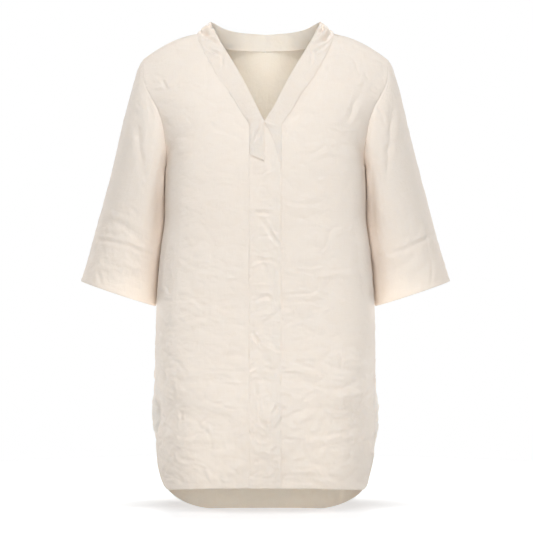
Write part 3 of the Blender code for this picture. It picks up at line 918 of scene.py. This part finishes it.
# Wrinkles across the band where it bends round the side of the neck. Their plane: millimetres from the
# shoulder towards the V, and from the neck seam towards the free edge.
BAND_CREASES_RIGHT = named(Crease, [
    (12, 9, 27, 16, 38, 29, 3.6, 4.8, 0.4),
    (26, 9, 40, 19, 53, 27, 3.6, 4.5, 0.4),
    (7, 30, 16, 24, 24, 31, 3.2, 3, 0.3),
    (-10, 22, 3, 12, 18, 4, 4, 2.4, 0.3),
    (48, 7, 64, 13, 82, 24, 3.6, 2.5, -0.3),
    (84, 29, 93, 22, 108, 16, 3.2, 1.5, 0.3),
    (-42, 28, -36, 16, -30, 6, 4, 1.5, 0.3),
])
BAND_CREASES_LEFT = named(Crease, [
    (8, 30, 23, 20, 37, 31, 3.2, 3.9, 0.4),
    (16, 8, 36, 13, 55, 25, 3.8, 5.1, 0.4),
    (34, 5, 56, 11, 74, 22, 3.6, 3, -0.3),
    (-8, 22, 5, 12, 20, 4, 4, 2.7, 0.3),
    (72, 30, 81, 22, 98, 16, 3.2, 1.8, 0.3),
    (-40, 28, -36, 18, -30, 7, 4, 1.7, 0.3),
])
TAB_CREASES = named(Crease, [
    (-11, -163, -15, -177, -22, -190, 4, 2.0, 0.4),
    (-5, -150, -9, -156, -15, -160, 3, 0.8, 0.3),
])


def neck_edge(table, band, drop, side, facing):
    """The neck seam and the band's free edge beside it at each drop, and how far both stand proud."""
    seam = edges(table, drop)
    free = Edge(*monotone(drops(table)[: len(band)], band, drop).T)
    near_v = smoothstep(drops(FRONT)[V_POINT] - 30, drops(FRONT)[V_POINT], drop) * (facing == FRONT_SIDE)
    over, under = near_v * (side < 0), near_v * (side > 0)
    behind = 0.5 * smoothstep(drops(BACK)[0], drops(BACK)[0] + 12, drop) * (facing == BACK_SIDE)
    return (
        np.column_stack([side * seam.in_x, facing * seam.in_depth, seam.in_z]),
        np.column_stack([side * free.x - CROSSING * under, facing * (free.depth - END_DROP * under), free.z]),
        BAND_LIFT + (TAB[-1].seam_lift - BAND_LIFT) * over + behind,
        BAND_LIFT + (TAB[-1].edge_lift - BAND_LIFT) * over + (TONGUE[0].lift - BAND_LIFT) * under,
    )


def on_placket(x, z):
    """Points of the placket's line at the given x and heights."""
    line = edges(FRONT, np.linspace(drops(FRONT)[V_POINT], drops(FRONT)[-1], 300))
    return np.column_stack([x + 0 * z, -np.interp(-z, -line.in_z, line.in_depth), z])


def tab_run():
    """The tab on the placket, from its tip up."""
    tab = Tab(*monotone(range(len(TAB)), TAB, np.linspace(0, len(TAB) - 1, 60)).T)
    return (
        on_placket(-HALF_PLACKET, tab.seam_z),
        on_placket(-BAND_FRONT[-1].x, tab.edge_z),
        tab.seam_lift,
        tab.edge_lift,
    )


def tongue_run():
    """The band's left end, a tongue over the placket that narrows to nothing along the seam."""
    tongue = Tongue(*monotone(range(len(TONGUE)), TONGUE, np.linspace(0.15, len(TONGUE) - 1, 60)).T)
    return (
        on_placket(FRONT[V_POINT].in_x, tongue.seam_z),
        on_placket(tongue.edge_x, tongue.edge_z),
        BAND_LIFT + 0 * tongue.lift,
        tongue.lift,
    )


def band_runs():
    """The band's runs, from the tab's tip up, round the neck and down to the tongue's."""
    to_v, top = drops(FRONT)[V_POINT], drops(FRONT)[0]
    down = top + np.linspace(0, 1, 500) * (to_v - top)
    behind = top + np.linspace(0, 1, 400)[1:] * (NECK_DROP - top)
    return [
        tab_run(),
        neck_edge(FRONT, BAND_FRONT, down[::-1], -1, FRONT_SIDE),
        neck_edge(BACK, BAND_BACK, behind, -1, BACK_SIDE),
        neck_edge(BACK, BAND_BACK, behind[-2::-1], 1, BACK_SIDE),
        neck_edge(FRONT, BAND_FRONT, down, 1, FRONT_SIDE),
        tongue_run(),
    ]


def band_cloth():
    """The band as one strip, and the distance from its two shoulder points: positive towards the V."""
    runs = band_runs()
    seam, edge, seam_lift, edge_lift = (np.concatenate([run[k] for run in runs]) for k in range(4))
    along = walked((seam + edge) / 2, 0)
    ends = np.cumsum([len(run[0]) for run in runs])
    right, left = along[ends[1] - 1], along[ends[3]]
    even = np.linspace(0, along[-1], BAND_ROWS)
    seam, edge = (part_way(even, along, line) for line in (seam, edge))
    lifts = np.stack([np.interp(even, along, lift) for lift in (seam_lift, edge_lift)])[..., None, None]
    across = edge - seam
    width = np.linalg.norm(across, axis=1)[:, None]
    outward = unit(-np.cross(np.gradient(seam + edge, axis=0), across))
    seam = seam - across / width * 0.8
    u = np.linspace(0, 1, BAND_COLUMNS)[None, :, None]
    full = np.minimum(1, width / 24)[:, None]
    full = full * smoothstep(20, -10, seam[:, 1])[:, None, None]
    crown = lifts[0] * (1 - u) + lifts[1] * u + BAND_CROWN * full * 4 * u * (1 - u)
    points = seam[:, None] * (1 - u) + edge[:, None] * u + outward[:, None] * crown
    cloth = lay_out(points, points - outward[:, None])
    lengths = (even, right - even, even - left)
    whole, from_right, from_left = (length[:, None] + 0 * cloth.from_in for length in lengths)
    return cloth._replace(grain=np.stack([whole, cloth.from_in], axis=-1)), from_right, from_left


def make_neckband(material, stitching):
    cloth, from_right, from_left = band_cloth()
    depth = 0.3 * crumple(cloth.points, 17, 71) + 0.6 * lattice_noise(cloth.points, 40, 72)
    for creases, ahead in ((BAND_CREASES_RIGHT, from_right), (BAND_CREASES_LEFT, from_left)):
        own = (ahead > WRINKLES_START) * 1.3 * smoothstep(0, 10, cloth.from_in)
        depth += crease_depth(np.stack([ahead, cloth.from_in], axis=-1), creases, own)
    on_tab = (from_right > TAB_START) * np.ones(depth.shape)
    depth += crease_depth(cloth.points[..., [0, 2]], TAB_CREASES, on_tab)
    depth *= smoothstep(0, 4, cloth.from_in)
    in_front = smoothstep(-10, 30, np.maximum(from_right, from_left))
    depth += puckers(cloth.from_in, cloth.grain[..., 0], 8, 73, 0.35, 8) * in_front
    depth += seam_roll(cloth.from_in, 0.35, 1.0) * in_front + seam_roll(cloth.from_out, 0.4, 1.0)
    points = push(cloth, depth)
    foot = across_rows(points, cloth.normals, cloth.from_in, 2.4)
    foot = part_of(foot, from_left[:, 0] < BAND_STITCH_END)
    make_piece("neckband", [(cloth, points)], material, [foot], stitching, BAND_THICKNESS, 0.35)


# ---------------------------------------------------------------- sleeves

SLEEVE_ROWS = 150
SLEEVE_COLUMNS = 180
HEIGHT_STEP = 5.0
DEPTH_STEP = 4.0
SLEEVE_CREASES = named(Crease, [
    (-277, -341, -235, -350, -190, -368, 4.2, 2.1, 0.6),
    (-270, -312, -240, -318, -205, -338, 7.0, 1.6, 0.3),
    (-213, -130, -207, -188, -199, -246, 7.0, 1.8, 0.2),
    (-193, -112, -189, -130, -186, -149, 4.0, 1.2, 0.2),
    (-226, -288, -218, -295, -212, -303, 3.4, 0.7, 0.2),
    (-275, -393, -273, -405, -269, -419, 3.5, 1.0, 0.2),
    (191, -371, 230, -358, 274, -340, 4.6, 2.0, -0.5),
    (212, -104, 203, -180, 195, -254, 7.0, 1.8, -0.2),
    (182, -117, 188, -136, 195, -157, 4.0, 1.2, -0.2),
    (214, -286, 219, -295, 224, -304, 3.4, 0.7, 0.2),
    (272, -374, 273, -398, 272, -423, 3.5, 1.0, 0.2),
])


def armhole_ring():
    """The armhole from the underarm round the front, over the shoulder and down the back, with even steps."""
    to_underarm = np.linspace(drops(FRONT)[0], drops(FRONT)[UNDERARM], 300)
    front = edges(FRONT, to_underarm[::-1])
    to_underarm = np.linspace(drops(BACK)[0], drops(BACK)[UNDERARM], 300)[1:]
    back = edges(BACK, to_underarm)
    front = np.column_stack([front.out_x, -front.out_depth, front.out_z])
    ring = np.concatenate([front, np.column_stack([back.out_x, back.out_depth, back.out_z])])
    length = walked(ring, 0)
    top = length[len(front) - 1]
    girth = np.where(length <= top, 0.5 * length / top, 0.5 + 0.5 * (length - top) / (length[-1] - top))
    even = np.linspace(0, length[-1], SLEEVE_COLUMNS)
    return part_way(even, length, ring), np.interp(even, length, girth)


def body_sides():
    """Half the body's width over a lattice of heights and depths beside the sleeves."""
    heights = np.arange(-520, -215, HEIGHT_STEP)
    depths = np.arange(-130, 112, DEPTH_STEP)
    t = np.linspace(0, 1, 41)
    widths = np.zeros((len(heights), len(depths)))
    for i, height in enumerate(heights):
        for table, hem, way in ((FRONT, FRONT_CORNER, -1), (BACK, BACK_CORNER, 1)):
            drop = np.full_like(t, max(-height, -FRONT[UNDERARM].out_z))
            section = section_points(table, hem, drop, t)[::-1]
            beside = depths * way >= 0
            widths[i, beside] = np.interp(np.abs(depths[beside]), section[:, 1], section[:, 0])
    return heights, depths, widths


def body_half_width(sides, y, z):
    heights, depths, widths = sides
    i = np.clip((z - heights[0]) / HEIGHT_STEP, 0, len(heights) - 1.001)
    j = np.clip((y - depths[0]) / DEPTH_STEP, 0, len(depths) - 1.001)
    i0, j0 = i.astype(int), j.astype(int)
    a, b = i - i0, j - j0
    low = widths[i0, j0] * (1 - b) + widths[i0, j0 + 1] * b
    high = widths[i0 + 1, j0] * (1 - b) + widths[i0 + 1, j0 + 1] * b
    return low * (1 - a) + high * a


def sleeve_form():
    """The form of the left sleeve from its armhole to its cuff, as a grid of points."""
    ring, girth = armhole_ring()
    line = Line(*monotone(np.linspace(0, 1, len(SLEEVE_LINES)), SLEEVE_LINES, girth).T)
    leave = unit(np.column_stack([line.leave_x, -line.leave_depth, line.leave_z]))
    tilt = np.radians(line.arrive_tilt)
    arrive = np.column_stack([np.sin(tilt), np.zeros_like(tilt), -np.cos(tilt)])
    turn = 2 * math.pi * girth
    cuff_tilt = math.radians(CUFF_TILT)
    sideways = np.array([math.cos(cuff_tilt), 0, math.sin(cuff_tilt)])
    cuff = (
        np.array(CUFF_CENTRE)
        - np.cos(turn)[:, None] * CUFF_HALF_WIDTH * sideways
        - np.sin(turn)[:, None] * CUFF_HALF_DEPTH * np.array([0, 1, 0])
    )
    start = ring + (leave + np.array([1, 0, 0])) * SLEEVE_GAP
    v = np.repeat(np.linspace(0, 1, SLEEVE_ROWS)[:, None], SLEEVE_COLUMNS, axis=1)
    start_way = start + leave * line.leave_reach[:, None]
    end_way = cuff - arrive * line.arrive_reach[:, None]
    return bezier(start[None], start_way[None], end_way[None], cuff[None], v)


def beside_body(points):
    """The left sleeve's points moved clear of the body, and the room that is left between the two."""
    sides = body_sides()
    x, y, z = np.moveaxis(points, -1, 0)
    from_top = smoothstep(0, 0.15, np.linspace(0, 1, len(points)))[:, None]
    gap = x - body_half_width(sides, y, z)
    hollow = np.exp(-((gap / 15) ** 2) - ((z + 285) / 50) ** 2) * from_top
    y = y + HOLLOW * hollow * smoothstep(0, 30, -y)
    below = np.clip((FRONT[UNDERARM].out_z - z) / 60, 0, 1)
    clear_x = body_half_width(sides, y, z) + SLEEVE_CLEARANCE * (0.4 + 0.6 * below)
    room = x - clear_x
    near = smoothstep(CLEAR_BELOW, CLEAR_BELOW - 25, z) * smoothstep(-390, -350, z)
    x = x - near * np.maximum(room, 0) * (1 - smoothstep(0, 12, room))
    beside = z < CLEAR_BELOW
    x = np.where(beside, np.maximum(x, clear_x), x)
    return np.stack([x, y, z], axis=-1), np.where(beside, x - clear_x, 30.0)


def sleeve_cloth(side):
    points, room = beside_body(sleeve_form())
    points = points * (side, 1, 1)
    cloth = lay_out(points, points.mean(axis=1, keepdims=True))
    cloth.normals[:, 0] = unit(cloth.normals[:, 0] + cloth.normals[:, -1])
    cloth.normals[:, -1] = cloth.normals[:, 0]
    return cloth, room


def make_sleeve(name, side, seed, material, stitching):
    cloth, room = sleeve_cloth(side)
    points = cloth.points
    depth = 0.8 * lattice_noise(points, 80, seed)
    elbow = 0.6 + 0.6 * np.exp(-(((points[..., 2] + 345) / 55) ** 2))
    depth += elbow * (0.65 * crumple(points, 40, seed + 5) + 0.35 * crumple(points, 17, seed + 6))
    for facing in (FRONT_SIDE, BACK_SIDE):
        plane = points[..., [0, 2]] * (-facing, 1)
        depth += crease_depth(plane, SLEEVE_CREASES, faced(cloth, facing))
    free = smoothstep(0, 12, room)
    depth = depth * free * smoothstep(0, 12, cloth.from_top) * smoothstep(0, 10, cloth.from_hem)
    gathers = puckers(cloth.from_top, walked(points, 1), 11, seed + 7, 0.5, 9)
    depth += seam_roll(cloth.from_top) + gathers * free
    depth += hem_relief(cloth.from_hem, HEM_WIDTH)
    underarm = np.minimum(cloth.from_in, cloth.from_out)
    depth += seam_roll(underarm, 0.4, 1.2)
    points = push(cloth, depth)
    points[:, -1] = points[:, 0] = (points[:, 0] + points[:, -1]) / 2
    make_piece(name, [(cloth, points)], material, [hem_line(cloth, points)], stitching)


# ---------------------------------------------------------------- sheets

# The rectangle that each piece was cut from and its flat area, in metres and square metres.
Cut = namedtuple("Cut", "width length area")


def dress(obj, node):
    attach(obj, "root")
    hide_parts(node)


def make_piece(name, parts, material, lines, stitching, thickness=THICKNESS, close=0.5):
    """A piece of cloth with its rows of stitches."""
    obj = make_sheet(name, parts, thickness, material, close)
    stitches = sew(name + "_stitches", lines, stitching)
    dress(obj, name)


# ---------------------------------------------------------------- stage

def make_floor():
    """A white floor that keeps the garment's soft shadow, with a painted shadow added: it glows less in an
    oval close round the garment.
    """
    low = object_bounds()[0].z
    bm = bmesh.new()
    bmesh.ops.create_circle(bm, cap_ends=True, segments=96, radius=1.1)
    bmesh.ops.translate(bm, verts=bm.verts, vec=(0, 0, low - 0.002))
    material, tree = new_material("white floor")
    tree.nodes.clear()
    place = add_node(tree, "ShaderNodeTexCoord").outputs["Object"]
    # Painted shadow: the glow the camera sees drops in an oval under and just behind the garment. The glow's
    # bluish tint colours that painted shadow.
    about = {"Vector": place, "Location": (0, -1.35, 0), "Scale": (3.6, 7.5, 0)}
    about = add_node(tree, "ShaderNodeMapping", about)
    reach = add_node(tree, "ShaderNodeVectorMath", {0: about.outputs[0]}, operation="LENGTH")
    level = range_node(tree, reach.outputs["Value"], 0.6, 1.1, **{"To Min": 0.46, "To Max": 0.82})
    rays = add_node(tree, "ShaderNodeLightPath")
    seen = math_node(tree, "MULTIPLY", rays.outputs["Is Camera Ray"], level)
    diffuse = add_node(tree, "ShaderNodeBsdfDiffuse", {"Color": (0.85, 0.85, 0.85, 1)})
    painted_shadow_glow = add_node(tree, "ShaderNodeEmission", {"Color": (0.975, 0.99, 1.0, 1), "Strength": seen})
    both = add_node(tree, "ShaderNodeAddShader", {0: diffuse.outputs[0], 1: painted_shadow_glow.outputs[0]})
    add_node(tree, "ShaderNodeOutputMaterial", {0: both.outputs[0]})
    floor = add_mesh("floor", bm, material, smooth=False)


def make_light():
    world = bpy.data.worlds.new("soft studio")
    bpy.context.scene.world = world
    world.use_nodes = True
    tree = world.node_tree
    rays = add_node(tree, "ShaderNodeLightPath").outputs
    seen = math_node(tree, "MAXIMUM", rays["Is Camera Ray"], rays["Is Glossy Ray"])
    seen = math_node(tree, "MAXIMUM", seen, rays["Is Transmission Ray"])
    level = math_node(tree, "ADD", math_node(tree, "MULTIPLY", seen, 1 - WORLD_LEVEL), WORLD_LEVEL)
    set_inputs(tree, tree.nodes["Background"], {"Color": (1, 1, 1, 1), "Strength": level})
    for name, kind, place, aim, strength, size in LAMPS:
        lamp = bpy.data.lights.new(name, kind)
        lamp.energy = strength
        if kind == "SUN":
            lamp.angle = math.radians(size)
        else:
            lamp.size = size
        obj = add_object(name, lamp)
        obj.location = place
        obj.rotation_euler = (Vector(aim) - Vector(place)).to_track_quat("-Z", "Y").to_euler()


WORLD_LEVEL = 0.08
CHEST = (0, -0.1, -0.2)
HIPS = (0, 0, -0.5)
# Name, kind, place, what it is aimed at, strength, and size in metres or in degrees for a sun.
LAMPS = [
    ("front", "AREA", (0, -2.8, -0.69), HIPS, 41.5, 1.0),
    ("front top", "AREA", (0.1, -2.5, 1.1), CHEST, 19, 1.1),
    ("top", "AREA", (-0.05, -0.9, 2.2), (0, 0, 0), 37, 1.0),
    ("left flank", "SUN", (-3, 0.6, -0.45), HIPS, 0.55, 30),
    ("right flank", "SUN", (3, 0.6, -0.45), HIPS, 0.65, 30),
    ("left behind", "SUN", (-2, 2.2, -0.55), HIPS, 2.15, 20),
    ("right behind", "SUN", (2, 2.2, -0.55), HIPS, 2.1, 20),
]


def make_camera():
    camera = bpy.data.cameras.new("camera")
    camera.lens = 138
    camera.sensor_width = 36
    obj = add_object("camera", camera)
    obj.location = (0.0017, -3.4, -0.387)
    obj.rotation_euler = (math.radians(90), 0, 0)
    bpy.context.scene.camera = obj


# ---------------------------------------------------------------- the kaftan

# One undyed linen, painted in lit and shaded copies. The back's copy is painted lighter, standing in for the
# light inside the garment.
BACK_LINEN_PAINTED_LIGHTER = (0.985, 0.85, 0.74)
BACK_LINEN_DEEP_PAINTED_LIGHTER = (0.885, 0.735, 0.62)
# The fronts', placket's and sleeves' copy of the same linen is painted darker, standing in for shade.
LINEN_PAINTED_DARKER = (0.898, 0.803, 0.717)
LINEN_DEEP_PAINTED_DARKER = (0.822, 0.707, 0.608)
# The band's copy is painted darker still, standing in for its shading. Behind, where its inside is seen in
# shade, it is painted lighter.
BAND_LINEN_PAINTED_DARKER = (0.88, 0.775, 0.692)
BAND_LINEN_DEEP_PAINTED_DARKER = (0.805, 0.685, 0.592)
BAND_LINEN_BEHIND_PAINTED_LIGHTER = (0.985, 0.838, 0.74)


def main():
    bpy.context.scene.view_settings.view_transform = "Standard"
    make_camera()
    make_light()
    weave = linen_group()
    stitching = thread("linen thread", (0.88, 0.81, 0.73), (0.74, 0.65, 0.56))
    # The fronts, placket and sleeves take a copy of the linen that is painted darker, standing in for shade.
    body = linen("body linen painted darker", weave, LINEN_PAINTED_DARKER, LINEN_DEEP_PAINTED_DARKER)
    # The back's linen is painted lighter, standing in for light inside the garment.
    back = linen("back linen painted lighter", weave, BACK_LINEN_PAINTED_LIGHTER, BACK_LINEN_DEEP_PAINTED_LIGHTER, 0.85)
    # The band is painted darker, standing in for shade, and is painted lighter behind, standing in for light
    # inside the neck.
    band = linen("band linen painted darker, lighter behind", weave, BAND_LINEN_PAINTED_DARKER, BAND_LINEN_DEEP_PAINTED_DARKER, 0.8, 0.2, BAND_LINEN_BEHIND_PAINTED_LIGHTER)
    make_front("front_right", -1, 11, body, stitching)
    make_front("front_left", 1, 23, body, stitching)
    make_back(back, stitching)
    make_placket(body, stitching)
    make_neckband(band, stitching)
    make_sleeve("sleeve_right", -1, 81, body, stitching)
    make_sleeve("sleeve_left", 1, 93, body, stitching)
    make_floor()


main()
